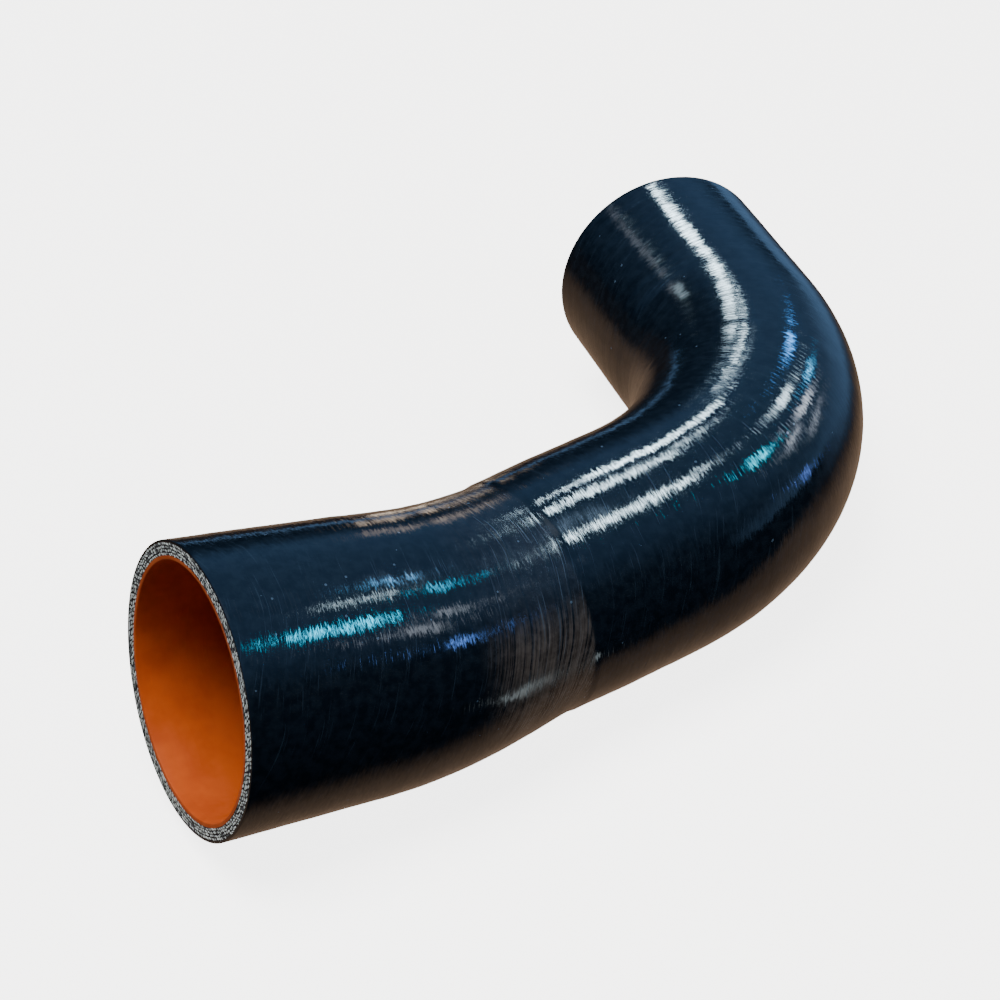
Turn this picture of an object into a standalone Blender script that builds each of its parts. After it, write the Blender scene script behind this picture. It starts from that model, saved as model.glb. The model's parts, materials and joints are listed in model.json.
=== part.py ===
"""Intercooler intake hose: a stepped reducer elbow of silicone rubber, open at both cut ends.

The wall is a laminate of three bonded layers, each of them a sub-part of its own: the bright inner
liner, the fabric reinforcement and the black cover. All three follow one centre line and one bore.

Units are metres and +Z is up. The hose lies on its side, as it comes to rest on a flat surface. Its
large leg runs along +X from the large cut end, and the middle of its footprint is at the origin.
"""

import math

import bmesh
import bpy
from mathutils import Matrix, Vector, geometry

# Bores. The two ends slip over pipes of these diameters, and the neck is the narrowest place.
LARGE_BORE = 0.0760
SHOULDER_BORE = 0.0710
NECK_BORE = 0.0624
SMALL_BORE = 0.0635

# Lengths of the bore's stretches from the large end on. The small bore fills the rest.
SOCKET_LENGTH = 0.060
REDUCER_LENGTH = 0.042
NECK_LENGTH = 0.015
STEP_LENGTH = 0.009
BORE_BLEND = 0.010

# Layers of the wall from the inside out, with the bond line that parts two layers.
LINER_THICKNESS = 0.0011
REINFORCEMENT_THICKNESS = 0.0035
COVER_THICKNESS = 0.0008
BOND_LINE = 0.0003

# Course of the centre line: three straight legs and two bends between them.
LARGE_LEG = 0.054
MIDDLE_LEG = 0.062
SMALL_LEG = 0.055
SHALLOW_BEND_ANGLE = math.radians(12.0)
SHALLOW_BEND_RADIUS = 0.200
ELBOW_ANGLE = math.radians(72.0)
ELBOW_RADIUS = 0.099

# Lift of each bend: how far the side that it turns to lies above the level of the leg before it.
SHALLOW_BEND_LIFT = math.radians(32.0)
ELBOW_LIFT = math.radians(-6.0)

# Fineness of the mesh.
RING_SPACING = 0.011
BEVEL_RESOLUTION = 14
HULL_SPACING = 0.003
HULL_SIDES = 180

COURSE = (
    (LARGE_LEG, 0.0, 0.0),
    (SHALLOW_BEND_ANGLE * SHALLOW_BEND_RADIUS, SHALLOW_BEND_ANGLE, SHALLOW_BEND_LIFT),
    (MIDDLE_LEG, 0.0, 0.0),
    (ELBOW_ANGLE * ELBOW_RADIUS, ELBOW_ANGLE, ELBOW_LIFT),
    (SMALL_LEG, 0.0, 0.0),
)
HOSE_LENGTH = sum(length for length, angle, lift in COURSE)

# The bore at the end of each stretch, by its distance from the large cut.
BORE_STATIONS = (
    (0.0, LARGE_BORE),
    (SOCKET_LENGTH, SHOULDER_BORE),
    (SOCKET_LENGTH + REDUCER_LENGTH, NECK_BORE),
    (SOCKET_LENGTH + REDUCER_LENGTH + NECK_LENGTH, NECK_BORE),
    (SOCKET_LENGTH + REDUCER_LENGTH + NECK_LENGTH + STEP_LENGTH, SMALL_BORE),
)

# Depth of each layer's two surfaces behind the bore's wall.
LINER_DEPTHS = (0.0, LINER_THICKNESS)
REINFORCEMENT_START = LINER_DEPTHS[1] + BOND_LINE
REINFORCEMENT_DEPTHS = (REINFORCEMENT_START, REINFORCEMENT_START + REINFORCEMENT_THICKNESS)
COVER_START = REINFORCEMENT_DEPTHS[1] + BOND_LINE
COVER_DEPTHS = (COVER_START, COVER_START + COVER_THICKNESS)


def clear_scene():
    """Remove every object, so that the model starts in an empty scene."""
    for old_object in list(bpy.data.objects):
        bpy.data.objects.remove(old_object, do_unlink=True)


def centre_line(distance):
    """Point and heading of the centre line at a distance from the large cut."""
    point = Vector((0.0, 0.0, 0.0))
    heading = Vector((1.0, 0.0, 0.0))
    for length, angle, lift in COURSE:
        run = min(distance, length)
        if angle == 0.0:
            point = point + run * heading
        else:
            level = Vector((0.0, 0.0, 1.0)).cross(heading).normalized()
            inside = math.cos(lift) * level + math.sin(lift) * heading.cross(level)
            radius = length / angle
            turned = run / radius
            point = point + radius * (math.sin(turned) * heading + (1.0 - math.cos(turned)) * inside)
            heading = math.cos(turned) * heading + math.sin(turned) * inside
        distance -= run
        if distance <= 0.0:
            break
    return point, heading


def straight_bore(distance):
    """Bore radius between the stations before their corners are rounded."""
    for (start, start_bore), (end, end_bore) in zip(BORE_STATIONS, BORE_STATIONS[1:]):
        if distance < end:
            share = (distance - start) / (end - start)
            return (start_bore + share * (end_bore - start_bore)) / 2
    return SMALL_BORE / 2


def bore_radius(distance):
    """Bore radius with rounded corners: the mean over a window that narrows to nothing at the cuts."""
    reach = min(BORE_BLEND, distance, HOSE_LENGTH - distance)
    samples = 20
    window = [distance + reach * (2 * i / samples - 1) for i in range(samples + 1)]
    return sum(straight_bore(max(place, 0.0)) for place in window) / len(window)


def ring_distances(spacing):
    """Evenly spaced distances along the hose, from cut to cut."""
    count = math.ceil(HOSE_LENGTH / spacing)
    return [HOSE_LENGTH * i / count for i in range(count + 1)]


def tube_mesh(name, depth):
    """Open tube surface that lies at a depth behind the bore's wall, swept along the centre line."""
    distances = ring_distances(RING_SPACING)
    curve = bpy.data.curves.new(name, 'CURVE')
    curve.dimensions = '3D'
    curve.bevel_depth = 1.0  # so that a point's radius is the tube's radius in metres
    curve.bevel_resolution = BEVEL_RESOLUTION
    curve.use_fill_caps = False
    spline = curve.splines.new('POLY')
    spline.points.add(len(distances) - 1)
    for spline_point, distance in zip(spline.points, distances):
        point, heading = centre_line(distance)
        spline_point.co = (point.x, point.y, point.z, 1.0)
        spline_point.radius = bore_radius(distance) + depth
    tube = bpy.data.objects.new(name, curve)
    bpy.context.scene.collection.objects.link(tube)
    bpy.context.view_layer.update()
    evaluated = tube.evaluated_get(bpy.context.evaluated_depsgraph_get())
    mesh = bpy.data.meshes.new_from_object(evaluated)
    bpy.data.objects.remove(tube)
    bpy.data.curves.remove(curve)
    return mesh


def layer_mesh(name, depths):
    """Closed wall between two tube surfaces, cut square at both ends of the hose."""
    bm = bmesh.new()
    for side, depth in zip(("inner", "outer"), depths):
        surface = tube_mesh(f"{name}_{side}", depth)
        if side == "inner":
            surface.flip_normals()
        bm.from_mesh(surface)
        bpy.data.meshes.remove(surface)
    for distance in (0.0, HOSE_LENGTH):
        centre, heading = centre_line(distance)
        rims = [edge for edge in bm.edges
                if edge.is_boundary and (edge.verts[0].co - centre).length < LARGE_BORE]
        bmesh.ops.bridge_loops(bm, edges=rims)
    bmesh.ops.recalc_face_normals(bm, faces=bm.faces)
    mesh = bpy.data.meshes.new(name)
    bm.to_mesh(mesh)
    bm.free()
    mesh.shade_smooth()
    mesh.set_sharp_from_angle(angle=math.radians(40.0))
    return mesh


def layer_material(name, colour, roughness):
    """Plain silicone rubber of one colour."""
    material = bpy.data.materials.new(name)
    material.use_nodes = True
    material.diffuse_color = (*colour, 1.0)
    surface = material.node_tree.nodes["Principled BSDF"]
    surface.inputs["Base Color"].default_value = (*colour, 1.0)
    surface.inputs["Roughness"].default_value = roughness
    surface.inputs["Metallic"].default_value = 0.0
    return material


def centre_of_mass():
    """Centre of mass of the wall, summed over short slices of the hose."""
    weighted = Vector((0.0, 0.0, 0.0))
    total = 0.0
    for distance in ring_distances(HULL_SPACING):
        inner = bore_radius(distance)
        area = (inner + COVER_DEPTHS[1]) ** 2 - inner ** 2
        weighted += area * centre_line(distance)[0]
        total += area
    return weighted / total


def resting_attitude():
    """Turn that lays the hose down on the facet of its convex hull under its centre of mass."""
    centre = centre_of_mass()
    hull = bmesh.new()
    for distance in ring_distances(HULL_SPACING):
        point, heading = centre_line(distance)
        level = Vector((0.0, 0.0, 1.0)).cross(heading).normalized()
        upright = heading.cross(level)
        radius = bore_radius(distance) + COVER_DEPTHS[1]
        for i in range(HULL_SIDES):
            turn = 2 * math.pi * i / HULL_SIDES
            hull.verts.new(point + radius * (math.cos(turn) * level + math.sin(turn) * upright))
    bmesh.ops.convex_hull(hull, input=hull.verts)
    downs = []
    for face in hull.faces:
        corners = [vert.co for vert in face.verts]
        down = geometry.normal(corners)
        height = (corners[0] - centre).dot(down)
        if height < 0.0:
            down, height = -down, -height
        if geometry.intersect_point_tri(centre + height * down, *corners[:3]):
            downs.append(down)
    hull.free()
    up = -min(downs, key=lambda down: down.z)
    forward = Vector((1.0, 0.0, 0.0))
    forward = (forward - forward.dot(up) * up).normalized()
    return Matrix((forward, up.cross(forward), up)).to_4x4()


def footprint_shift(mesh, attitude):
    """Move that stands the turned mesh on z = 0 with the middle of its box at the origin."""
    corners = [attitude @ vert.co for vert in mesh.vertices]
    low = Vector([min(corner[axis] for corner in corners) for axis in range(3)])
    high = Vector([max(corner[axis] for corner in corners) for axis in range(3)])
    return Matrix.Translation((-(low.x + high.x) / 2, -(low.y + high.y) / 2, -low.z))


def main():
    clear_scene()
    hose = bpy.data.collections.new("intercooler_intake_hose")
    bpy.context.scene.collection.children.link(hose)
    layers = (
        ("liner", LINER_DEPTHS, (0.62, 0.13, 0.015), 0.45),
        ("reinforcement", REINFORCEMENT_DEPTHS, (0.10, 0.13, 0.17), 0.85),
        ("cover", COVER_DEPTHS, (0.006, 0.009, 0.016), 0.15),
    )
    meshes = {name: layer_mesh(name, depths) for name, depths, colour, roughness in layers}

    attitude = resting_attitude()
    rest = bpy.data.objects.new("resting_place", None)
    hose.objects.link(rest)
    rest.matrix_world = footprint_shift(meshes["cover"], attitude) @ attitude

    for name, depths, colour, roughness in layers:
        layer = bpy.data.objects.new(name, meshes[name])
        layer.data.materials.append(layer_material(name, colour, roughness))
        layer.parent = rest
        hose.objects.link(layer)
    bpy.context.view_layer.update()


main()
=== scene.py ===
"""Looks of an intercooler intake hose: cover, reinforcement, liner and the stage around them.

The file is laid out as a Blender add-on. Run as a script, it dresses the solids of the hose: each
layer of the wall is swept again with a fine surface, and gets a procedural material that follows
the hose from cut to cut. Units are metres.
"""

import json
import math

import bmesh
import bpy
from bpy.props import FloatProperty, FloatVectorProperty, IntProperty, PointerProperty
from mathutils import Matrix, Vector, geometry, noise


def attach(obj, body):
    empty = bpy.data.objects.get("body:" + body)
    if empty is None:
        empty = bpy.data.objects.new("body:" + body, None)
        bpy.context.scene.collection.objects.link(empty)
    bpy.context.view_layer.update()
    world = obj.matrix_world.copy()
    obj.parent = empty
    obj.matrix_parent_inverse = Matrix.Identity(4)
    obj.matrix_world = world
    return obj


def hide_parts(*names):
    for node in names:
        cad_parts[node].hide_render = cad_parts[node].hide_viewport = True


bl_info = {
    "name": "Intake Hose Looks",
    "version": (1, 0, 0),
    "blender": (4, 5, 0),
    "location": "View3D > Sidebar > Hose",
    "description": "Gives the solids of a silicone intake hose their finished surfaces and a stage",
    "category": "Object",
}

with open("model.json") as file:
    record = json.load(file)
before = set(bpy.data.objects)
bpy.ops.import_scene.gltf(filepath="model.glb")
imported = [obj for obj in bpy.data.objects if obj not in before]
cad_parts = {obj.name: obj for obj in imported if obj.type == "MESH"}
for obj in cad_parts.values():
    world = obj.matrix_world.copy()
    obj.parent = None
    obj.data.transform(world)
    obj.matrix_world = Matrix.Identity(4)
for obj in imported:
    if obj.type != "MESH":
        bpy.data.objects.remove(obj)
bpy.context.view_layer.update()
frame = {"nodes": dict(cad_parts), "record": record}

MILLIMETRES = 1000  # in a metre


def metres(name, description, default):
    """A length that the sidebar shows."""
    return FloatProperty(name=name, description=description, default=default, unit='LENGTH', precision=5)


def turn(name, description, degrees):
    """An angle that the sidebar shows in degrees."""
    return FloatProperty(name=name, description=description, default=math.radians(degrees), subtype='ANGLE')


def colour(name, description, default):
    """A linear colour."""
    return FloatVectorProperty(
        name=name, description=description, default=default, size=3, min=0.0, max=1.0, subtype='COLOR')


class HoseShape(bpy.types.PropertyGroup):
    """Bores, wall and course of the hose, as the solids have them"""

    large_bore: metres("Large bore", "Bore at the large cut", 0.0760)
    shoulder_bore: metres("Shoulder bore", "Bore where the reducer starts", 0.0710)
    neck_bore: metres("Neck bore", "Narrowest bore", 0.0624)
    small_bore: metres("Small bore", "Bore from the neck to the small cut", 0.0635)
    socket_length: metres("Socket", "Length from the large cut to the shoulder", 0.060)
    reducer_length: metres("Reducer", "Length from the shoulder to the neck", 0.042)
    neck_length: metres("Neck", "Length of the narrowest stretch", 0.015)
    step_length: metres("Step", "Length over which the bore opens again", 0.009)
    bore_blend: metres("Blend", "Half width of the rounding of the bore's corners", 0.010)
    liner_wall: metres("Liner wall", "Depth of the bond behind the liner", 0.00125)
    ply_wall: metres("Ply wall", "Depth of the bond behind the reinforcement", 0.00505)
    whole_wall: metres("Whole wall", "Depth of the outer surface behind the bore", 0.00600)
    large_leg: metres("Large leg", "Straight length at the large end", 0.054)
    middle_leg: metres("Middle leg", "Straight length between the bends", 0.062)
    small_leg: metres("Small leg", "Straight length at the small end", 0.055)
    shallow_angle: turn("Shallow bend", "Angle of the bend behind the large leg", 12.0)
    shallow_radius: metres("Shallow radius", "Centre-line radius of the shallow bend", 0.200)
    shallow_lift: turn("Shallow lift", "Rise of the side that the shallow bend turns to", 32.0)
    elbow_angle: turn("Elbow", "Angle of the elbow", 72.0)
    elbow_radius: metres("Elbow radius", "Centre-line radius of the elbow", 0.099)
    elbow_lift: turn("Elbow lift", "Rise of the side that the elbow turns to", -6.0)


class HoseFinish(bpy.types.PropertyGroup):
    """Fineness of the surfaces, traces of the making, and colours"""

    sides: IntProperty(name="Sides", description="Faces around the hose", default=144, min=16, max=256)
    ring_spacing: metres("Ring spacing", "Distance between the rings of a visible surface", 0.0013)
    bond_spacing: metres("Bond spacing", "Distance between the rings of a hidden surface", 0.006)
    bond_gap: metres("Bond gap", "Hairline between two layers", 0.00001)
    cut_wear: metres("Cut wear", "Radius of the worn edges at the cuts", 0.0003)
    ply_groove: metres("Ply groove", "Depth of the grooves between the cut plies", 0.00007)
    waviness: metres("Waviness", "Unevenness that the wrapping leaves in the cover", 0.00022)
    wrap_end: metres("Wrap end", "Distance of the ring where the neck's wrapping ends", 0.1112)
    wrap_step: metres("Wrap step", "Height of the ring where the neck's wrapping ends", 0.00030)
    neck_fade: metres("Neck fade", "Length before that ring over which the neck is wrapped", 0.030)
    neck_full: metres("Neck full", "Length before that ring that is fully wrapped", 0.012)
    # The film below is partly a film that the wrapping leaves and partly a painted reflection of a warm bench
    # on the neck's underside.
    film_and_reflection_fade: metres("Film fade", "Length before that ring that has a film", 0.041)
    film_and_reflection_full: metres("Film full", "Length before that ring that has the full film", 0.024)
    ring_fade: metres("Ring fade", "Length over which the wrapping stops at that ring", 0.0012)
    ply_count: IntProperty(name="Plies", description="Fabric plies in the wall", default=4, min=1, max=12)
    yarn_count: IntProperty(
        name="Yarns", description="Cut yarns around each ply", default=170, min=8, max=400)
    cover_colour: colour("Cover", "Black rubber with a blue cast", (0.0020, 0.0045, 0.0090))
    dust_colour: colour("Dust", "Pale dust and scuffs", (0.11, 0.20, 0.34))
    # Partly a film that the wrapping leaves, partly a painted reflection of a warm bench on the neck's
    # underside.
    film_and_reflection_colour: colour("Film", "Warm grey film that the wrapping leaves", (0.125, 0.112, 0.106))
    liner_colour: colour("Liner", "Orange rubber of the lining", (0.580, 0.104, 0.018))
    liner_shade: colour("Liner shade", "Darker clouds in the lining", (0.410, 0.058, 0.008))
    ply_rubber: colour("Ply rubber", "Dark rubber between the yarns", (0.005, 0.010, 0.020))
    yarn_colour: colour("Yarn", "Cut ends of the yarns", (0.84, 0.95, 1.00))


class HoseStage(bpy.types.PropertyGroup):
    """Camera, floor and light"""

    camera_place: FloatVectorProperty(
        name="Camera", description="Place of the camera", default=(-0.37930, -0.70328, 0.59308),
        subtype='XYZ', precision=5)
    camera_aim: FloatVectorProperty(
        name="Aim", description="Point in the middle of the picture", default=(-0.00987, -0.00376, 0.04000),
        subtype='XYZ', precision=5)
    camera_roll: turn("Roll", "Turn of the camera about its line of sight", 0.605)
    lens: FloatProperty(name="Lens", description="Focal length for a 36 mm wide sensor", default=110.94)
    glint_distance: metres("Glint distance", "Distance of the lamps that show in the gloss", 0.3)
    light_distance: metres("Light distance", "Distance of the soft lamps", 3.0)
    floor_size: metres("Floor size", "Side of the square floor", 16.0)
    floor_colour: colour("Floor", "Pale floor", (0.86, 0.86, 0.86))
    floor_glow: FloatProperty(name="Floor glow", description="Light that keeps the floor pale", default=4.0)
    # Painted reflection: the floor glows in these tones, and in a pale strip, for every ray but the camera's.
    bench_reflection_colour: colour("Bench", "Warm tone in which the hose mirrors the floor", (0.40, 0.265, 0.175))
    horizon_colour: colour("Horizon", "Brighter blue tone that the elbow mirrors", (0.20, 0.40, 0.74))
    glow_strip_place: FloatVectorProperty(
        name="Strip", description="Middle of the pale strip on the floor that the neck mirrors",
        default=(0.0, -0.133), size=2, precision=5)
    glow_strip_colour: colour("Strip colour", "Pale tone of the strip that the neck mirrors", (0.80, 0.95, 1.00))
    sky_colour: colour("Sky", "Blue tone that the hose mirrors from above", (0.15, 0.33, 0.66))


def course(shape):
    """Stretches of the centre line as length, angle and lift. A straight leg has no angle."""
    return (
        (shape.large_leg, 0.0, 0.0),
        (shape.shallow_angle * shape.shallow_radius, shape.shallow_angle, shape.shallow_lift),
        (shape.middle_leg, 0.0, 0.0),
        (shape.elbow_angle * shape.elbow_radius, shape.elbow_angle, shape.elbow_lift),
        (shape.small_leg, 0.0, 0.0),
    )


def hose_length(shape):
    """Length of the centre line from cut to cut."""
    return sum(stretch[0] for stretch in course(shape))


def pose_along(shape, distance):
    """Pose at a distance from the large cut: local z runs along the hose, and x and y never twist."""
    pose = Matrix.Rotation(math.pi / 2, 4, 'Y')
    for stretch, angle, lift in course(shape):
        run = min(distance, stretch)
        if angle == 0.0:
            pose = pose @ Matrix.Translation((0.0, 0.0, run))
        else:
            heading = pose.to_3x3().col[2]
            level = Vector((0.0, 0.0, 1.0)).cross(heading).normalized()
            inside = math.cos(lift) * level + math.sin(lift) * heading.cross(level)
            middle = pose.translation + inside * stretch / angle
            bend = Matrix.Rotation(angle * run / stretch, 4, heading.cross(inside))
            pose = Matrix.Translation(middle) @ bend @ Matrix.Translation(-middle) @ pose
        distance -= run
        if distance <= 0.0:
            break
    return pose


def cut_centre(mount):
    """Middle of the cut face that carries a mount, measured on the solids."""
    flat, near = 0.0002, 0.1  # how far a corner of the cut may lie off its plane, and from the mount
    point = Vector(mount["pos_m"])
    outward = Vector(mount["axis"])
    corners = [vert.co for vert in frame["nodes"]["liner"].data.vertices]
    on_cut = [co for co in corners
              if abs((co - point).dot(outward)) < flat and (co - point).length < near]
    low = Vector([min(co[axis] for co in on_cut) for axis in range(3)])
    high = Vector([max(co[axis] for co in on_cut) for axis in range(3)])
    return (low + high) / 2


def triad(first, second):
    """Rotation whose x axis is the first direction and whose x-y plane holds the second."""
    x = first.normalized()
    z = x.cross(second).normalized()
    return Matrix((x, z.cross(x), z)).transposed()


def row_placement(shape):
    """Matrix from the hose's own course to the frame, read from its two mounts."""
    mounts = {mount["name"]: mount for mount in frame["record"]["mounts"]}
    start = cut_centre(mounts["large_end"])
    end = cut_centre(mounts["small_end"])
    own = triad(Vector((1.0, 0.0, 0.0)), pose_along(shape, hose_length(shape)).translation)
    row = triad(-Vector(mounts["large_end"]["axis"]), end - start)
    return Matrix.Translation(start) @ (row @ own.transposed()).to_4x4()


def straight_bore(shape, distance):
    """Bore radius between the stations, before their corners are rounded."""
    start, start_bore = 0.0, shape.large_bore
    for stretch, end_bore in (
            (shape.socket_length, shape.shoulder_bore),
            (shape.reducer_length, shape.neck_bore),
            (shape.neck_length, shape.neck_bore),
            (shape.step_length, shape.small_bore)):
        if distance < start + stretch:
            return (start_bore + (distance - start) / stretch * (end_bore - start_bore)) / 2
        start, start_bore = start + stretch, end_bore
    return shape.small_bore / 2


def bore_radius(shape, distance):
    """Bore radius with rounded corners, as the solids have it."""
    reach = max(min(shape.bore_blend, distance, hose_length(shape) - distance), 0.0)
    samples = 20
    window = [distance + reach * (2 * i / samples - 1) for i in range(samples + 1)]
    return sum(straight_bore(shape, max(place, 0.0)) for place in window) / len(window)


def spaced(start, end, spacing):
    """Even distances from start to end, both included."""
    count = max(math.ceil(abs(end - start) / spacing), 1)
    return [start + (end - start) * i / count for i in range(count + 1)]


def bonded_run(shape, finish, depth):
    """Outline of a hidden surface from cut to cut, as points of distance and depth."""
    return [(distance, depth) for distance in spaced(0.0, hose_length(shape), finish.bond_spacing)]


def open_run(shape, finish, depth, outward, spacing):
    """Outline of a visible surface from cut to cut, with worn edges. outward is +1 or -1."""
    end = hose_length(shape)
    wear = finish.cut_wear
    swings = [math.radians(angle) for angle in (90.0, 67.5, 45.0, 22.5, 0.0)]
    edge = [(wear * (1 - math.sin(swing)), depth - outward * wear * (1 - math.cos(swing)))
            for swing in swings]
    middle = [(distance, depth) for distance in spaced(wear, end - wear, spacing)[1:-1]]
    return edge + middle + [(end - distance, edge_depth) for distance, edge_depth in reversed(edge)]


# Steps across a plain cut face, and across each ply of a grooved one.
PLAIN_STEPS = 2
STEPS_PER_PLY = 8


def cut_face(shape, finish, inner, outer, steps):
    """Outlines of the two cut faces between two depths: inwards at the small cut, outwards at the large."""
    groove = finish.ply_groove if steps > PLAIN_STEPS else 0.0
    shares = [i / steps for i in range(1, steps)]
    sunk = [groove * (0.5 + 0.5 * math.cos(2 * math.pi * finish.ply_count * share)) for share in shares]
    depths = [inner + share * (outer - inner) for share in shares]
    small = [(hose_length(shape) - low, depth) for low, depth in zip(reversed(sunk), reversed(depths))]
    return small, list(zip(sunk, depths))


SHARP_FROM = math.radians(35.0)


def sweep_section(name, shape, section, sides, relief=None):
    """Closed solid made by walking a circle along an outline of distance and depth."""
    placement = row_placement(shape)
    bm = bmesh.new()
    straight = bm.verts.layers.float_vector.new("straight")
    heading = bm.verts.layers.float_vector.new("heading")
    depth_mark = bm.verts.layers.float.new("depth")
    ring = bmesh.ops.create_circle(bm, segments=sides, radius=1.0)["verts"]
    edges = list({edge for vert in ring for edge in vert.link_edges})
    first_edges = edges
    placed = Matrix.Identity(4)
    sinking = []
    for step, (distance, depth) in enumerate(section):
        if step > 0:
            grown = bmesh.ops.extrude_edge_only(bm, edges=edges)["geom"]
            ring = [item for item in grown if isinstance(item, bmesh.types.BMVert)]
            in_ring = set(ring)
            edges = [item for item in grown if isinstance(item, bmesh.types.BMEdge)
                     and item.verts[0] in in_ring and item.verts[1] in in_ring]
        radius = bore_radius(shape, distance) + depth
        pose = placement @ pose_along(shape, distance)
        target = pose @ Matrix.Diagonal((radius, radius, radius, 1.0))
        bmesh.ops.transform(bm, matrix=target @ placed.inverted(), verts=ring)
        placed = target
        back = pose.inverted()
        for vert in ring:
            local = back @ vert.co
            vert[straight] = (local.x, local.y, distance)
            vert[heading] = pose.to_3x3().col[2]
            vert[depth_mark] = depth
            if relief is not None:
                inward = (pose.translation - vert.co).normalized()
                sinking.append((vert, relief(vert[straight], depth) * inward))
    for vert, sink in sinking:
        vert.co += sink
    bmesh.ops.bridge_loops(bm, edges=first_edges + edges)
    bmesh.ops.recalc_face_normals(bm, faces=bm.faces)
    mesh = bpy.data.meshes.new(name)
    bm.to_mesh(mesh)
    bm.free()
    mesh.shade_smooth()
    mesh.set_sharp_from_angle(angle=SHARP_FROM)
    piece = bpy.data.objects.new(name, mesh)
    bpy.context.scene.collection.objects.link(piece)
    return piece


def dress(piece, node, material):
    """Put a finished piece in the place of its solid."""
    piece.data.materials.append(material)
    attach(piece, "root")
    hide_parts(node)


def soft_step(low, high, value):
    """0 below low, 1 above high, and a smooth rise between."""
    share = min(max((value - low) / (high - low), 0.0), 1.0)
    return share * share * (3 - 2 * share)


class Graph:
    """Short way to add nodes to a node tree and to wire them."""

    def __init__(self, tree):
        self.tree = tree

    def add(self, kind, inputs=None, **settings):
        """Add a node. Inputs are values or sockets by name or number, and the rest are its settings."""
        node = self.tree.nodes.new(kind)
        for key, value in settings.items():
            setattr(node, key, value)
        for key, value in (inputs or {}).items():
            self.feed(node.inputs[key], value)
        return node

    def feed(self, socket, value):
        """Give a socket a link or a value."""
        if isinstance(value, bpy.types.NodeSocket):
            self.tree.links.new(value, socket)
        else:
            socket.default_value = value

    def math(self, operation, first, second=0.0, third=0.0):
        """Result of a Math node."""
        node = self.add('ShaderNodeMath', {0: first, 1: second, 2: third}, operation=operation)
        return node.outputs[0]

    def vector(self, operation, first, second=(0.0, 0.0, 0.0)):
        """Result of a Vector Math node."""
        return self.add('ShaderNodeVectorMath', {0: first, 1: second}, operation=operation).outputs[0]

    def scale(self, vector, factor):
        """Vector times a number."""
        return self.add('ShaderNodeVectorMath', {0: vector, 'Scale': factor}, operation='SCALE').outputs[0]

    def rise(self, value, low, high, to_low=0.0, to_high=1.0, curve='SMOOTHSTEP'):
        """Value carried from one range to another."""
        node = self.add('ShaderNodeMapRange', {
            'Value': value, 'From Min': low, 'From Max': high, 'To Min': to_low, 'To Max': to_high},
            interpolation_type=curve)
        return node.outputs['Result']

    def mix(self, share, first, second, blend='MIX'):
        """Blend of two colours."""
        node = self.add('ShaderNodeMix', data_type='RGBA', blend_type=blend)
        for socket, value in zip((node.inputs[0], node.inputs[6], node.inputs[7]), (share, first, second)):
            self.feed(socket, value)
        return node.outputs[2]

    def noise(self, vector, scale, detail=2.0, roughness=0.5):
        """Value of a 3-D noise."""
        node = self.add('ShaderNodeTexNoise', {
            'Vector': vector, 'Scale': scale, 'Detail': detail, 'Roughness': roughness})
        return node.outputs['Fac']


def new_group(name, inputs, outputs):
    """Empty shader node group with its sockets: its graph, its inputs and its outputs."""
    tree = bpy.data.node_groups.new(name, 'ShaderNodeTree')
    for label, kind, value in inputs:
        socket = tree.interface.new_socket(name=label, in_out='INPUT', socket_type=kind)
        if value is not None:
            socket.default_value = value
    for label in outputs:
        tree.interface.new_socket(name=label, in_out='OUTPUT', socket_type='NodeSocketFloat')
    graph = Graph(tree)
    return graph, graph.add('NodeGroupInput').outputs, graph.add('NodeGroupOutput').inputs


def wrap_marks_group():
    """Marks of wrapping tape: short combed lines and whole rings around the hose.

    Along is the vector that follows the hose, Pitch the spacing of the lines, Reach their length
    around the hose and Tilt their slant.
    """
    name = "wrap_marks"
    if name in bpy.data.node_groups:
        return bpy.data.node_groups[name]
    graph, given, result = new_group(name, (
        ("Along", 'NodeSocketVector', None), ("Pitch", 'NodeSocketFloat', 0.001),
        ("Reach", 'NodeSocketFloat', 0.015), ("Tilt", 'NodeSocketFloat', 0.0)), ("Height", "Lines", "Fringe"))
    place = graph.add('ShaderNodeSeparateXYZ', {0: given["Along"]}).outputs
    sway = graph.math('MULTIPLY_ADD', graph.noise(given["Along"], 22.0, 1.0), 0.012, place['Z'])
    slant = graph.math('MULTIPLY_ADD', place['X'], given["Tilt"], sway)
    rows = graph.math('DIVIDE', slant, given["Pitch"])
    around = graph.math('DIVIDE', 1.0, given["Reach"])
    lanes = graph.add('ShaderNodeCombineXYZ', {
        0: graph.math('MULTIPLY', place['X'], around),
        1: graph.math('MULTIPLY', place['Y'], around),
        2: rows})
    combed = graph.noise(lanes.outputs[0], 1.0, 2.0, 0.6)
    rings = graph.add('ShaderNodeTexNoise', noise_dimensions='1D')
    for socket, value in (('W', rows), ('Scale', 0.45), ('Detail', 2.0)):
        graph.feed(rings.inputs[socket], value)
    middle = graph.math('ABSOLUTE', graph.math('SUBTRACT', rings.outputs['Fac'], 0.5))
    grooves = graph.rise(middle, 0.0, 0.045, 0.0, 0.35)
    graph.feed(result["Height"], graph.math('MULTIPLY_ADD', combed, 0.65, grooves))
    graph.feed(result["Lines"], graph.rise(combed, 0.60, 0.72))
    graph.feed(result["Fringe"], graph.math('SUBTRACT', graph.noise(lanes.outputs[0], 1.7, 2.0, 0.7), 0.5))
    return graph.tree


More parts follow.
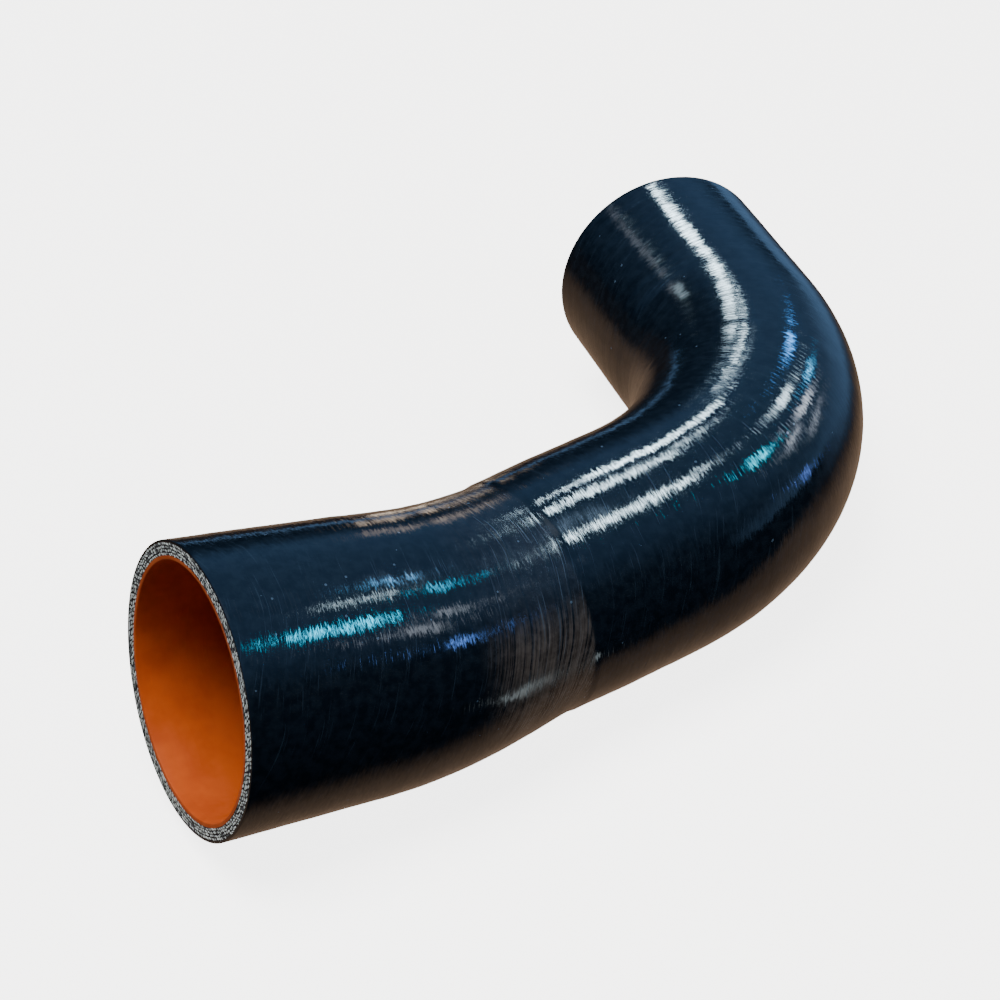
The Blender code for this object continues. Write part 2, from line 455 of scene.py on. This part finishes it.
def rubber_grain_group():
    """Unevenness of moulded rubber: soft clouds, fine grain and scattered dust specks."""
    name = "rubber_grain"
    if name in bpy.data.node_groups:
        return bpy.data.node_groups[name]
    graph, given, result = new_group(name, (
        ("Along", 'NodeSocketVector', None), ("Cloud Size", 'NodeSocketFloat', 0.010),
        ("Speck Spacing", 'NodeSocketFloat', 0.004)), ("Clouds", "Grain", "Specks"))
    clouds = graph.noise(given["Along"], graph.math('DIVIDE', 1.0, given["Cloud Size"]), 3.0, 0.6)
    cells = graph.add('ShaderNodeTexVoronoi', {
        'Vector': given["Along"], 'Scale': graph.math('DIVIDE', 1.0, given["Speck Spacing"])})
    chance = graph.add('ShaderNodeSeparateColor', {0: cells.outputs['Color']}).outputs[0]
    size = graph.rise(chance, 0.55, 1.0, 0.0, 0.10)
    graph.feed(result["Clouds"], graph.rise(clouds, 0.35, 0.68))
    graph.feed(result["Grain"], graph.noise(given["Along"], 900.0, 2.0))
    graph.feed(result["Specks"], graph.math('LESS_THAN', cells.outputs['Distance'], size))
    return graph.tree


def new_material(name):
    """Material with its graph and its Principled surface."""
    material = bpy.data.materials.new(name)
    material.use_nodes = True
    return material, Graph(material.node_tree), material.node_tree.nodes["Principled BSDF"]


def follow(graph):
    """Vector that follows the hose: across it in x and y, and the distance from the large cut in z."""
    return graph.add('ShaderNodeAttribute', attribute_name="straight").outputs['Vector']


def opaque(value):
    """Four components of a linear colour."""
    return (*value, 1.0)


# Values of the wrap marks: pitch, reach around the hose and tilt.
TAPE_MARKS = (0.00075, 0.005, 0.06)
CROSSING_MARKS = (0.0006, 0.020, 0.35)
LINER_MARKS = (0.0016, 0.020, 0.02)

# Values of the rubber grain: cloud size and speck spacing.
COVER_GRAIN = (0.0030, 0.0045)
PLY_GRAIN = (0.004, 0.0011)
LINER_GRAIN = (0.014, 0.007)

# Heights of the reliefs that are too fine for the mesh.
SWELL_HEIGHT = 0.00008
COMB_HEIGHT = 0.000022
CROSSING_HEIGHT = 0.00004
YARN_HEIGHT = 0.00015
LINER_HEIGHT = 0.00004

# How far the fringe of the combed lines tips the gloss to the side.
FRINGE_LEAN = 0.20

# The film covers the neck from below up to the first of these places across the hose, and thins out to a
# trace at the second. Its warm grey is partly a film that the wrapping leaves and partly a painted reflection
# of a warm bench on the neck's underside.
FILM_AND_REFLECTION_SIDE = (-0.0370, -0.0270)
FILM_AND_REFLECTION_TRACE = 0.08


def set_group(graph, group, along, values):
    """Give a group's first input the vector that follows the hose, and the next ones their values."""
    for socket, value in zip(group.inputs, (along, *values)):
        graph.feed(socket, value)


def cover_material(finish):
    """Glossy black rubber with the marks of the wrapping tape, and duller where the neck is wrapped."""
    material, graph, surface = new_material("cover_rubber")
    along = follow(graph)
    place = graph.add('ShaderNodeSeparateXYZ', {0: along}).outputs
    distance = place['Z']
    end = finish.wrap_end
    entering = graph.rise(distance, end - finish.neck_fade, end - finish.neck_full)
    leaving = graph.rise(distance, end - finish.ring_fade, end, 1.0, 0.0)
    neck = graph.math('MULTIPLY', entering, leaving)
    # Painted reflection in part: the warm grey on the neck's underside stands for a bench mirrored there,
    # besides a film that the wrapping leaves.
    filming_and_reflecting = graph.rise(distance, end - finish.film_and_reflection_fade, end - finish.film_and_reflection_full)
    reflecting_underside = graph.rise(place['Y'], *FILM_AND_REFLECTION_SIDE, 1.0, FILM_AND_REFLECTION_TRACE)
    filmed_and_reflecting = graph.math('MULTIPLY', graph.math('MULTIPLY', filming_and_reflecting, leaving), reflecting_underside)
    marks, grain_group = wrap_marks_group(), rubber_grain_group()
    tape = graph.add('ShaderNodeGroup', node_tree=marks)
    crossing = graph.add('ShaderNodeGroup', node_tree=marks)
    grain = graph.add('ShaderNodeGroup', node_tree=grain_group)
    for group, values in ((tape, TAPE_MARKS), (crossing, CROSSING_MARKS), (grain, COVER_GRAIN)):
        set_group(graph, group, along, values)

    scuffed = graph.math('MULTIPLY', crossing.outputs["Lines"], graph.math('MULTIPLY_ADD', neck, 0.16, 0.06))
    dusted = graph.math('MULTIPLY', grain.outputs["Clouds"], graph.math('MULTIPLY_ADD', neck, 0.01, 0.025))
    specks = graph.math('MULTIPLY', grain.outputs["Specks"], 0.35)
    pale = graph.math('ADD', graph.math('ADD', scuffed, dusted), specks)
    pale = graph.math('MINIMUM', pale, 1.0)
    shade = graph.mix(pale, opaque(finish.cover_colour), opaque(finish.dust_colour))
    # The film colour is partly a painted reflection of a warm bench and partly a film that the wrapping
    # leaves.
    cloth = graph.math('MULTIPLY_ADD', crossing.outputs["Height"], 1.2, -0.48)
    film_and_reflection = graph.math('MULTIPLY', filmed_and_reflecting, graph.math('MULTIPLY_ADD', grain.outputs["Clouds"], 0.20, cloth))
    shade = graph.mix(graph.math('MAXIMUM', film_and_reflection, 0.0), shade, opaque(finish.film_and_reflection_colour))
    graph.feed(surface.inputs["Base Color"], shade)

    gloss = graph.math('MULTIPLY_ADD', tape.outputs["Height"], 0.05, 0.035)
    gloss = graph.math('MULTIPLY_ADD', neck, 0.07, gloss)
    gloss = graph.math('MULTIPLY_ADD', filmed_and_reflecting, 0.09, gloss)
    gloss = graph.math('MULTIPLY_ADD', grain.outputs["Clouds"], 0.03, gloss)
    graph.feed(surface.inputs["Roughness"], gloss)
    surface.inputs["IOR"].default_value = 1.50

    facing = graph.add('ShaderNodeNewGeometry').outputs['Normal']
    heading = graph.add('ShaderNodeAttribute', attribute_name="heading").outputs['Vector']
    aside = graph.vector('CROSS_PRODUCT', heading, facing)
    lean = graph.scale(aside, graph.math('MULTIPLY', tape.outputs["Fringe"], FRINGE_LEAN))
    combed = graph.vector('NORMALIZE', graph.vector('ADD', facing, lean))
    swell = graph.add('ShaderNodeBump', {
        'Height': graph.noise(along, 95.0, 1.0), 'Distance': SWELL_HEIGHT, 'Normal': combed})
    combs = graph.add('ShaderNodeBump', {
        'Height': tape.outputs["Height"], 'Distance': COMB_HEIGHT, 'Normal': swell.outputs[0]})
    wrapped = graph.math('MULTIPLY_ADD', neck, 0.9, 0.1)
    brushed = graph.add('ShaderNodeBump', {
        'Height': graph.math('MULTIPLY', crossing.outputs["Height"], wrapped),
        'Distance': CROSSING_HEIGHT, 'Normal': combs.outputs[0]})
    graph.feed(surface.inputs["Normal"], brushed.outputs[0])
    return material


def ply_material(shape, finish):
    """Dark rubber with the pale cut ends of the yarns in rows, one row for each ply."""
    material, graph, surface = new_material("cut_plies")
    along = follow(graph)
    place = graph.add('ShaderNodeSeparateXYZ', {0: along}).outputs
    depth = graph.add('ShaderNodeAttribute', attribute_name="depth").outputs['Fac']
    share = graph.rise(depth, shape.liner_wall, shape.ply_wall, 0.0, float(finish.ply_count), 'LINEAR')
    row = graph.math('FLOOR', share)
    # Each row is parted into lanes of one yarn, which slant from row to row and wander a little.
    around = graph.math('ARCTAN2', place['Y'], place['X'])
    slant = graph.math('MULTIPLY', share, 0.55)
    lane = graph.math('MULTIPLY_ADD', around, finish.yarn_count / (2 * math.pi), slant)
    lane = graph.math('MULTIPLY_ADD', graph.noise(along, 260.0, 1.0), 2.4, lane)
    cell = graph.add('ShaderNodeCombineXYZ', {0: graph.math('FLOOR', lane), 1: row})
    chance = graph.add('ShaderNodeTexWhiteNoise', {'Vector': cell.outputs[0]}, noise_dimensions='2D')
    luck = graph.add('ShaderNodeSeparateColor', {0: chance.outputs['Color']}).outputs
    # A yarn's end lies near the middle of its lane and row, and reach is the distance from it.
    middle = graph.math('MULTIPLY_ADD', luck[0], 0.3, 0.35)
    across = graph.math('SUBTRACT', graph.math('FRACT', lane), middle)
    middle = graph.math('MULTIPLY_ADD', luck[1], 0.4, 0.3)
    through = graph.math('SUBTRACT', graph.math('FRACT', share), middle)
    squared = graph.math('MULTIPLY_ADD', across, across, graph.math('MULTIPLY', through, through))
    reach = graph.math('SQRT', squared)
    # The end is round with a frayed edge, and some ends are darker than others.
    grain = graph.add('ShaderNodeGroup', node_tree=rubber_grain_group())
    set_group(graph, grain, along, PLY_GRAIN)
    frayed = graph.math('MULTIPLY_ADD', grain.outputs["Grain"], 0.5, graph.math('SUBTRACT', reach, 0.25))
    end = graph.rise(frayed, 0.32, 0.43, 1.0, 0.0)
    speck = graph.math('MULTIPLY', end, graph.rise(luck[2], 0.05, 0.45, 0.15, 1.0))
    pale = graph.math('MULTIPLY_ADD', grain.outputs["Specks"], 0.5, speck)
    pale = graph.math('MINIMUM', pale, 1.0)
    shade = graph.mix(pale, opaque(finish.ply_rubber), opaque(finish.yarn_colour))
    graph.feed(surface.inputs["Base Color"], shade)
    graph.feed(surface.inputs["Roughness"], graph.rise(end, 0.0, 1.0, 0.45, 0.85))
    surface.inputs["Specular IOR Level"].default_value = 0.2
    bump = graph.add('ShaderNodeBump', {'Height': end, 'Distance': YARN_HEIGHT, 'Strength': 0.8})
    graph.feed(surface.inputs["Normal"], bump.outputs[0])
    return material


def liner_material(finish):
    """Satin orange rubber with faint clouds and a trace of the wrapping."""
    material, graph, surface = new_material("liner_rubber")
    along = follow(graph)
    grain = graph.add('ShaderNodeGroup', node_tree=rubber_grain_group())
    marks = graph.add('ShaderNodeGroup', node_tree=wrap_marks_group())
    for group, values in ((grain, LINER_GRAIN), (marks, LINER_MARKS)):
        set_group(graph, group, along, values)
    clouded = graph.math('MULTIPLY', grain.outputs["Clouds"], 0.55)
    shade = graph.mix(clouded, opaque(finish.liner_colour), opaque(finish.liner_shade))
    shade = graph.mix(graph.math('MULTIPLY', grain.outputs["Specks"], 0.5), shade, opaque(finish.liner_shade))
    graph.feed(surface.inputs["Base Color"], shade)
    graph.feed(surface.inputs["Roughness"], graph.math('MULTIPLY_ADD', grain.outputs["Clouds"], 0.12, 0.42))
    height = graph.math('MULTIPLY_ADD', grain.outputs["Grain"], 0.4, marks.outputs["Height"])
    bump = graph.add('ShaderNodeBump', {'Height': height, 'Distance': LINER_HEIGHT})
    graph.feed(surface.inputs["Normal"], bump.outputs[0])
    return material


# Unevenness of the cover: lobes and rings for each metre, and their shares of the waviness.
LOBES_ACROSS = 30
LOBES_ALONG = 70
RINGS_ALONG = 260
MEAN_SHARE, LOBE_SHARE, RING_SHARE = 0.80, 0.35, 0.25

# The cover dips towards the ring where the neck's wrapping ends, and comes back up over the ring.
DIP_LENGTH = 0.016
RING_EDGE = 0.0006

class HOSE_OT_make_cover(bpy.types.Operator):
    """Sweep the outer layer and give it its glossy rubber"""

    bl_idname = "hose.make_cover"
    bl_label = "Make Cover"

    def execute(self, context):
        shape = context.scene.hose_shape
        finish = context.scene.hose_finish
        outer = shape.whole_wall
        inner = shape.ply_wall + finish.bond_gap / 2
        small, large = cut_face(shape, finish, inner, outer - finish.cut_wear, PLAIN_STEPS)
        section = open_run(shape, finish, outer, 1, finish.ring_spacing) + small
        section += list(reversed(bonded_run(shape, finish, inner))) + large

        def relief(place, depth):
            if depth <= inner:
                return 0.0
            x, y, distance = place
            lobe = noise.noise(Vector((x * LOBES_ACROSS, y * LOBES_ACROSS, distance * LOBES_ALONG)))
            ring = noise.noise(Vector((0.5, 7.3, distance * RINGS_ALONG)))
            end = finish.wrap_end
            under_tape = soft_step(end - DIP_LENGTH, end - RING_EDGE, distance)
            past_tape = soft_step(end - RING_EDGE, end + RING_EDGE, distance)
            dip = finish.wrap_step * under_tape * (1 - past_tape)
            return finish.waviness * (MEAN_SHARE + LOBE_SHARE * lobe + RING_SHARE * ring) + dip

        piece = sweep_section("cover_skin", shape, section, finish.sides, relief)
        dress(piece, "cover", cover_material(finish))
        return {'FINISHED'}


class HOSE_OT_make_plies(bpy.types.Operator):
    """Sweep the fabric reinforcement, which shows only at the two cuts"""

    bl_idname = "hose.make_plies"
    bl_label = "Make Plies"

    def execute(self, context):
        shape = context.scene.hose_shape
        finish = context.scene.hose_finish
        outer = shape.ply_wall - finish.bond_gap / 2
        inner = shape.liner_wall + finish.bond_gap / 2
        small, large = cut_face(shape, finish, inner, outer, STEPS_PER_PLY * finish.ply_count)
        section = bonded_run(shape, finish, outer) + small
        section += list(reversed(bonded_run(shape, finish, inner))) + large
        piece = sweep_section("reinforcement_plies", shape, section, finish.sides)
        dress(piece, "reinforcement", ply_material(shape, finish))
        return {'FINISHED'}


class HOSE_OT_make_liner(bpy.types.Operator):
    """Sweep the orange lining of the bore"""

    bl_idname = "hose.make_liner"
    bl_label = "Make Liner"

    def execute(self, context):
        shape = context.scene.hose_shape
        finish = context.scene.hose_finish
        outer = shape.liner_wall - finish.bond_gap / 2
        small, large = cut_face(shape, finish, finish.cut_wear, outer, PLAIN_STEPS)
        section = bonded_run(shape, finish, outer) + small
        section += list(reversed(open_run(shape, finish, 0.0, -1, 2 * finish.ring_spacing))) + large
        piece = sweep_section("liner_skin", shape, section, finish.sides)
        dress(piece, "liner", liner_material(finish))
        return {'FINISHED'}


WHITE = (0.66, 0.88, 1.00)
GREY = (0.80, 0.88, 1.00)
BLUE = (0.10, 0.38, 1.00)
CYAN = (0.03, 0.72, 1.00)
VIOLET = (0.16, 0.30, 1.00)

# Lamps that show only in the gloss, by the glint that the camera sees on the hose: its two ends in
# millimetres from the large cut and degrees around, its width in millimetres, colour,
# radiance, and how far beyond its glint such a lamp still shines, in millimetres.
GLINTS = (
    ("window_far_start", (112.5, 181.7), (121.0, 181.7), 1.8, WHITE, 76.0, 9),
    ("window_far_pieces", (123.5, 181.7), (131.0, 181.6), 1.2, WHITE, 42.0, 14),
    ("window_far", (133.7, 181.6), (158.6, 180.2), 1.9, WHITE, 100.0, 14),
    ("window_far_end", (160.5, 180.2), (186.0, 178.5), 1.8, WHITE, 80.0, 10),
    ("window_mid", (115.5, 188.9), (146.0, 188.7), 3.2, WHITE, 84.0, 9),
    ("window_mid_end", (148.1, 189.2), (160.5, 188.6), 2.0, WHITE, 60.0, 14),
    ("window_mid_last", (162.0, 186.4), (178.0, 185.0), 1.6, WHITE, 27.0, 14),
    ("window_near", (114.5, 205.4), (146.5, 205.4), 3.6, WHITE, 90.0, 9),
    ("window_near_end", (147.5, 205.4), (160.0, 203.0), 2.8, WHITE, 80.0, 14),
    ("window_near_last", (161.0, 202.8), (171.0, 201.5), 1.6, WHITE, 36.0, 14),
    ("tube_window", (323.0, 162.8), (273.0, 166.3), 4.2, WHITE, 72.0, 20),
    ("tube_bend", (264.0, 167.0), (241.0, 168.6), 2.8, WHITE, 60.0, 12),
    ("tube_bend_end", (239.5, 168.8), (217.0, 172.6), 2.8, WHITE, 62.0, 10),
    ("tube_bend_last", (213.0, 174.0), (206.0, 175.0), 4.0, WHITE, 20.0, 8),
    ("tube_dashes", (328.0, 139.0), (284.0, 141.0), 2.4, GREY, 2.0, 20),
    ("tube_dashes_end", (280.0, 141.0), (262.0, 144.3), 3.6, WHITE, 9.0, 10),
    ("bend_blue", (238.0, 191.2), (224.5, 196.3), 3.0, BLUE, 48.0, 12),
    ("bend_white", (218.5, 199.6), (194.0, 203.5), 2.6, WHITE, 50.0, 12),
    ("bend_cyan", (189.3, 210.4), (178.5, 214.2), 5.0, CYAN, 66.0, 12),
    ("bend_blue_low", (226.4, 204.8), (218.3, 208.0), 2.4, (0.12, 0.55, 1.00), 44.0, 10),
    ("bend_dim", (217.0, 210.6), (203.6, 211.2), 2.2, GREY, 16.0, 30),
    ("bend_dim_end", (202.6, 212.0), (190.0, 221.0), 2.2, GREY, 11.0, 30),
    ("bend_violet", (196.2, 231.5), (190.5, 234.2), 3.4, VIOLET, 18.0, 14),
    ("bend_arc", (221.7, 214.1), (196.0, 225.0), 1.6, GREY, 5.0, 30),
    ("leg_cyan", (17.0, 214.9), (43.0, 215.4), 6.4, (0.02, 0.66, 1.00), 84.0, 9),
    ("leg_white", (35.0, 205.2), (50.0, 205.7), 3.0, WHITE, 30.0, 10),
    ("leg_blue", (47.5, 199.6), (56.3, 199.9), 2.4, (0.20, 0.55, 1.00), 34.0, 12),
    ("leg_cyan_small", (61.0, 205.7), (70.0, 206.7), 2.2, (0.05, 0.62, 1.00), 38.0, 12),
    ("leg_grey", (59.6, 216.6), (71.1, 217.6), 2.0, GREY, 7.0, 30),
    ("leg_grey_low", (49.4, 220.4), (61.9, 223.0), 2.4, GREY, 7.0, 30),
    ("leg_violet", (59.5, 230.5), (72.4, 229.4), 7.4, (0.14, 0.33, 1.00), 36.0, 10),
    ("neck_tan_high", (72.0, 149.0), (103.0, 153.0), 10.0, (1.00, 0.80, 0.60), 4.2, 28),
    ("neck_tan", (74.0, 158.0), (101.0, 163.0), 14.0, (1.00, 0.80, 0.60), 4.0, 22),
    ("neck_tan_low", (80.0, 169.5), (98.0, 173.0), 8.0, (1.00, 0.80, 0.60), 4.2, 22),
    ("ring_strokes", (108.0, 200.0), (112.0, 200.0), 20.0, (0.50, 0.72, 1.00), 6.0, 60),
)


def mirrored(stage, shape, placement, spot):
    """Point of the cover at a spot, its radius, and the way in which the camera's ray leaves it."""
    distance, around = spot[0] / MILLIMETRES, math.radians(spot[1])
    pose = placement @ pose_along(shape, distance)
    radius = bore_radius(shape, distance) + shape.whole_wall
    outward = pose.to_3x3() @ Vector((math.cos(around), math.sin(around), 0.0))
    step = 0.001
    slope = (bore_radius(shape, distance + step) - bore_radius(shape, distance - step)) / (2 * step)
    normal = (outward - slope * pose.to_3x3().col[2]).normalized()
    point = pose.translation + radius * outward
    sight = (point - Vector(stage.camera_place)).normalized()
    return point, radius, sight.reflect(normal)


def area_lamp(name, matrix, size, size_y, tint, radiance, fan=math.pi):
    """Rectangular lamp that shines against its local z axis and fans out over an angle.

    A narrow fan makes a lamp brighter in its middle. The factor narrowed undoes that.
    """
    data = bpy.data.lights.new(name, 'AREA')
    data.shape = 'RECTANGLE'
    data.size, data.size_y = size, size_y
    narrowed = 1.0 - math.tan(fan / 2) ** -1 * fan / 2 if fan < math.pi else 1.0
    data.energy = radiance * math.pi * size * size_y * narrowed  # watts of a flat lamp
    data.spread = fan
    data.color = tint
    placed = bpy.data.objects.new(name, data)
    placed.matrix_world = matrix
    placed.visible_camera = False
    bpy.context.scene.collection.objects.link(placed)
    return placed


def glint_lamp(stage, shape, placement, name, start, end, width, tint, radiance, margin):
    """Lamp that the camera sees mirrored on the hose from one spot to another."""
    middle = ((start[0] + end[0]) / 2, (start[1] + end[1]) / 2)
    point, radius, way = mirrored(stage, shape, placement, middle)
    half = math.degrees(width / 2 / MILLIMETRES / radius)
    centre = point + way * stage.glint_distance
    hits = []
    for spot in (start, end, (middle[0], middle[1] - half), (middle[0], middle[1] + half)):
        seen, radius, onward = mirrored(stage, shape, placement, spot)
        hits.append(geometry.intersect_line_plane(seen, seen + onward, centre, way))
    along = (hits[1] - hits[0]).normalized()
    up = way.cross(along)
    matrix = Matrix.Translation((hits[0] + hits[1]) / 2) @ Matrix((along, up, way)).transposed().to_4x4()
    long, wide = (hits[1] - hits[0]).length, abs((hits[3] - hits[2]).dot(up))
    lit = (abs(end[0] - start[0]) / 2 + margin) / MILLIMETRES
    fan = 2 * math.atan(lit / stage.glint_distance)
    placed = area_lamp(name, matrix, long, wide, tint, radiance, fan)
    placed.visible_diffuse = False


# Wide lamps that face the hose: azimuth and elevation in degrees, side in metres, colour, radiance,
# and whether the gloss shows them.
SOFT_LAMPS = (
    ("key", 188.0, 75.0, 1.7, (1.00, 0.96, 0.90), 12.5, False),
    ("top", 20.0, 84.0, 1.5, (0.96, 0.98, 1.00), 0.8, True),
    ("front", 295.0, 16.0, 1.6, (1.00, 0.93, 0.86), 4.6, False),
)


def soft_lamp(distance, name, azimuth, elevation, size, tint, radiance, in_gloss):
    """Wide lamp that faces the hose from a direction."""
    az, el = math.radians(azimuth), math.radians(elevation)
    outward = Vector((math.cos(az) * math.cos(el), math.sin(az) * math.cos(el), math.sin(el)))
    matrix = Matrix.Translation(outward * distance) @ outward.to_track_quat('Z', 'Y').to_matrix().to_4x4()
    placed = area_lamp(name, matrix, size, size, tint, radiance)
    placed.visible_glossy = in_gloss


BLACK = (0.0, 0.0, 0.0, 1.0)
FLOOR_CLOUD = (0.8, 0.8, 0.8, 1.0)

# Places on the floor, in metres: where the painted reflection of the bench starts in y, over which distances
# from the hose it fades, where the painted horizon tone starts in x and in y, and how far the glowing pale
# strip reaches from its middle in x and in y.
BENCH_REFLECTION_START = (-0.122, -0.096)
BENCH_REFLECTION_FADE = (0.15, 0.30)
HORIZON_REFLECTION_X = (0.20, 0.42)
HORIZON_REFLECTION_Y = (-0.15, 0.12)
GLOW_STRIP_X = (0.008, 0.018)
GLOW_STRIP_Y = (0.003, 0.008)
GLOW_STRIP_BOOST = 3.0  # brightness that the strip adds to its own colour


def floor_material(stage):
    """Pale matt floor for the camera. For every other ray it glows with a painted reflection: the warm tone
    of a bench that ends before the hose, a blue horizon tone and a pale strip.
    """
    material, graph, surface = new_material("pale_floor")
    place = graph.add('ShaderNodeTexCoord').outputs['Object']
    cloud = graph.rise(graph.noise(place, 3.0, 3.0), 0.3, 0.7, 0.0, 0.04)
    graph.feed(surface.inputs["Base Color"], graph.mix(cloud, opaque(stage.floor_colour), FLOOR_CLOUD))
    surface.inputs["Roughness"].default_value = 0.9
    surface.inputs["Specular IOR Level"].default_value = 0.1
    surface.inputs["Emission Color"].default_value = (1.0, 1.0, 1.0, 1.0)
    surface.inputs["Emission Strength"].default_value = stage.floor_glow
    spot = graph.add('ShaderNodeSeparateXYZ', {0: place}).outputs
    # Painted reflection: a warm glow, as of a bench, that ends before the hose and fades away from it.
    bench = graph.rise(spot['Y'], *BENCH_REFLECTION_START)
    reach = graph.add('ShaderNodeVectorMath', {0: place}, operation='LENGTH').outputs['Value']
    far = graph.rise(reach, *BENCH_REFLECTION_FADE, 1.0, 0.10)
    reflected_planks = graph.rise(graph.noise(place, 9.0, 4.0), 0.2, 0.8, 0.60, 1.0)
    lit = graph.math('MULTIPLY', graph.math('MULTIPLY', bench, far), reflected_planks)
    warm = graph.mix(lit, BLACK, opaque(stage.bench_reflection_colour))
    # Painted reflection: a blue horizon tone glows on the far floor along +X.
    horizon_reflection = graph.math('MULTIPLY', graph.rise(spot['X'], *HORIZON_REFLECTION_X), graph.rise(spot['Y'], *HORIZON_REFLECTION_Y))
    seen = graph.mix(horizon_reflection, warm, opaque(stage.horizon_colour))
    # Painted glint: a pale strip glows on the floor so that the neck mirrors it.
    beside = graph.math('ABSOLUTE', graph.math('SUBTRACT', spot['X'], stage.glow_strip_place[0]))
    before = graph.math('ABSOLUTE', graph.math('SUBTRACT', spot['Y'], stage.glow_strip_place[1]))
    beside = graph.rise(beside, *GLOW_STRIP_X, 1.0, 0.0)
    before = graph.rise(before, *GLOW_STRIP_Y, 1.0, 0.0)
    strip = graph.math('MULTIPLY', beside, before)
    seen = graph.mix(strip, seen, opaque(stage.glow_strip_colour))
    seen = graph.scale(seen, graph.math('MULTIPLY_ADD', strip, GLOW_STRIP_BOOST, 1.0))
    shown = graph.add('ShaderNodeEmission', {'Color': seen, 'Strength': 1.0})
    # The camera sees the pale floor; all other rays see only the painted reflection glow.
    ray = graph.add('ShaderNodeLightPath').outputs['Is Camera Ray']
    either = graph.add('ShaderNodeMixShader', {0: ray, 1: shown.outputs[0], 2: surface.outputs[0]})
    graph.feed(material.node_tree.nodes["Material Output"].inputs[0], either.outputs[0])
    return material


SKY_BOTTOM = (0.002, 0.004, 0.008, 1.0)
ROOM_WHITE = (1.0, 1.0, 1.0, 1.0)
BACKDROP = (2.6, 2.6, 2.6, 1.0)  # bright enough that the camera sees it as pale as the floor


def studio_world(stage):
    """White room overhead for the matt surfaces, and a dim blue sky in the gloss of the hose."""
    world = bpy.data.worlds.new("studio")
    world.use_nodes = True
    world.node_tree.nodes.clear()
    graph = Graph(world.node_tree)
    way = graph.add('ShaderNodeTexCoord').outputs['Generated']
    part = graph.add('ShaderNodeSeparateXYZ', {0: way}).outputs
    # The sky is dark towards the camera and low down, and dims again straight behind the hose.
    near = graph.rise(graph.math('MULTIPLY_ADD', part['Y'], 0.8, part['Z']), -0.48, 0.42)
    high = graph.math('MULTIPLY', near, graph.rise(part['Z'], -0.06, 0.40))
    high = graph.math('MULTIPLY', high, graph.rise(part['Y'], 0.74, 0.90, 1.0, 0.12))
    sky = graph.mix(high, SKY_BOTTOM, opaque(stage.sky_colour))
    # The horizon is brighter only beyond the elbow, low down along +X.
    low = graph.rise(part['Z'], 0.0, 0.32, 1.0, 0.0)
    level = graph.math('MULTIPLY', low, graph.rise(part['X'], 0.72, 0.88))
    sky = graph.mix(level, sky, opaque(stage.horizon_colour))
    ceiling = graph.rise(part['Z'], 0.10, 0.95, 0.02, 0.12)
    room = graph.mix(ceiling, BLACK, ROOM_WHITE)
    ray = graph.add('ShaderNodeLightPath').outputs
    seen = graph.mix(ray['Is Camera Ray'], room, BACKDROP)
    seen = graph.mix(ray['Is Glossy Ray'], seen, sky)
    background = graph.add('ShaderNodeBackground', {'Color': seen, 'Strength': 1.0})
    graph.add('ShaderNodeOutputWorld', {0: background.outputs[0]})
    return world


class HOSE_OT_make_stage(bpy.types.Operator):
    """Set the floor, the lamps, the room and the camera"""

    bl_idname = "hose.make_stage"
    bl_label = "Make Stage"

    def execute(self, context):
        scene = context.scene
        stage = scene.hose_stage
        bm = bmesh.new()
        bmesh.ops.create_grid(bm, x_segments=1, y_segments=1, size=stage.floor_size / 2)
        mesh = bpy.data.meshes.new("floor")
        bm.to_mesh(mesh)
        bm.free()
        floor = bpy.data.objects.new("floor", mesh)
        floor.data.materials.append(floor_material(stage))
        scene.collection.objects.link(floor)

        shape = scene.hose_shape
        placement = row_placement(shape)
        for glint in GLINTS:
            glint_lamp(stage, shape, placement, *glint)
        for lamp in SOFT_LAMPS:
            soft_lamp(stage.light_distance, *lamp)

        scene.world = studio_world(stage)

        data = bpy.data.cameras.new("camera")
        data.lens = stage.lens
        data.sensor_width = 36.0
        data.clip_end = 50.0
        camera = bpy.data.objects.new("camera", data)
        place = Vector(stage.camera_place)
        aim = (Vector(stage.camera_aim) - place).to_track_quat('-Z', 'Y').to_matrix().to_4x4()
        camera.matrix_world = Matrix.Translation(place) @ aim @ Matrix.Rotation(-stage.camera_roll, 4, 'Z')
        scene.collection.objects.link(camera)
        scene.camera = camera
        return {'FINISHED'}


class HOSE_PT_looks(bpy.types.Panel):
    """Steps of the hose's looks"""

    bl_label = "Intake Hose"
    bl_idname = "HOSE_PT_looks"
    bl_space_type = 'VIEW_3D'
    bl_region_type = 'UI'
    bl_category = "Hose"

    def draw(self, context):
        for operator in OPERATORS:
            self.layout.operator(operator.bl_idname)
        for group in (context.scene.hose_shape, context.scene.hose_finish, context.scene.hose_stage):
            box = self.layout.box()
            for key in group.bl_rna.properties.keys():
                if key not in {"rna_type", "name"}:
                    box.prop(group, key)


OPERATORS = (HOSE_OT_make_cover, HOSE_OT_make_plies, HOSE_OT_make_liner, HOSE_OT_make_stage)
CLASSES = (HoseShape, HoseFinish, HoseStage, *OPERATORS, HOSE_PT_looks)


def register():
    for cls in CLASSES:
        bpy.utils.register_class(cls)
    bpy.types.Scene.hose_shape = PointerProperty(type=HoseShape)
    bpy.types.Scene.hose_finish = PointerProperty(type=HoseFinish)
    bpy.types.Scene.hose_stage = PointerProperty(type=HoseStage)


def unregister():
    del bpy.types.Scene.hose_stage
    del bpy.types.Scene.hose_finish
    del bpy.types.Scene.hose_shape
    for cls in reversed(CLASSES):
        bpy.utils.unregister_class(cls)


def main():
    register()
    bpy.ops.hose.make_cover()
    bpy.ops.hose.make_plies()
    bpy.ops.hose.make_liner()
    bpy.ops.hose.make_stage()


if __name__ == "__main__":
    main()
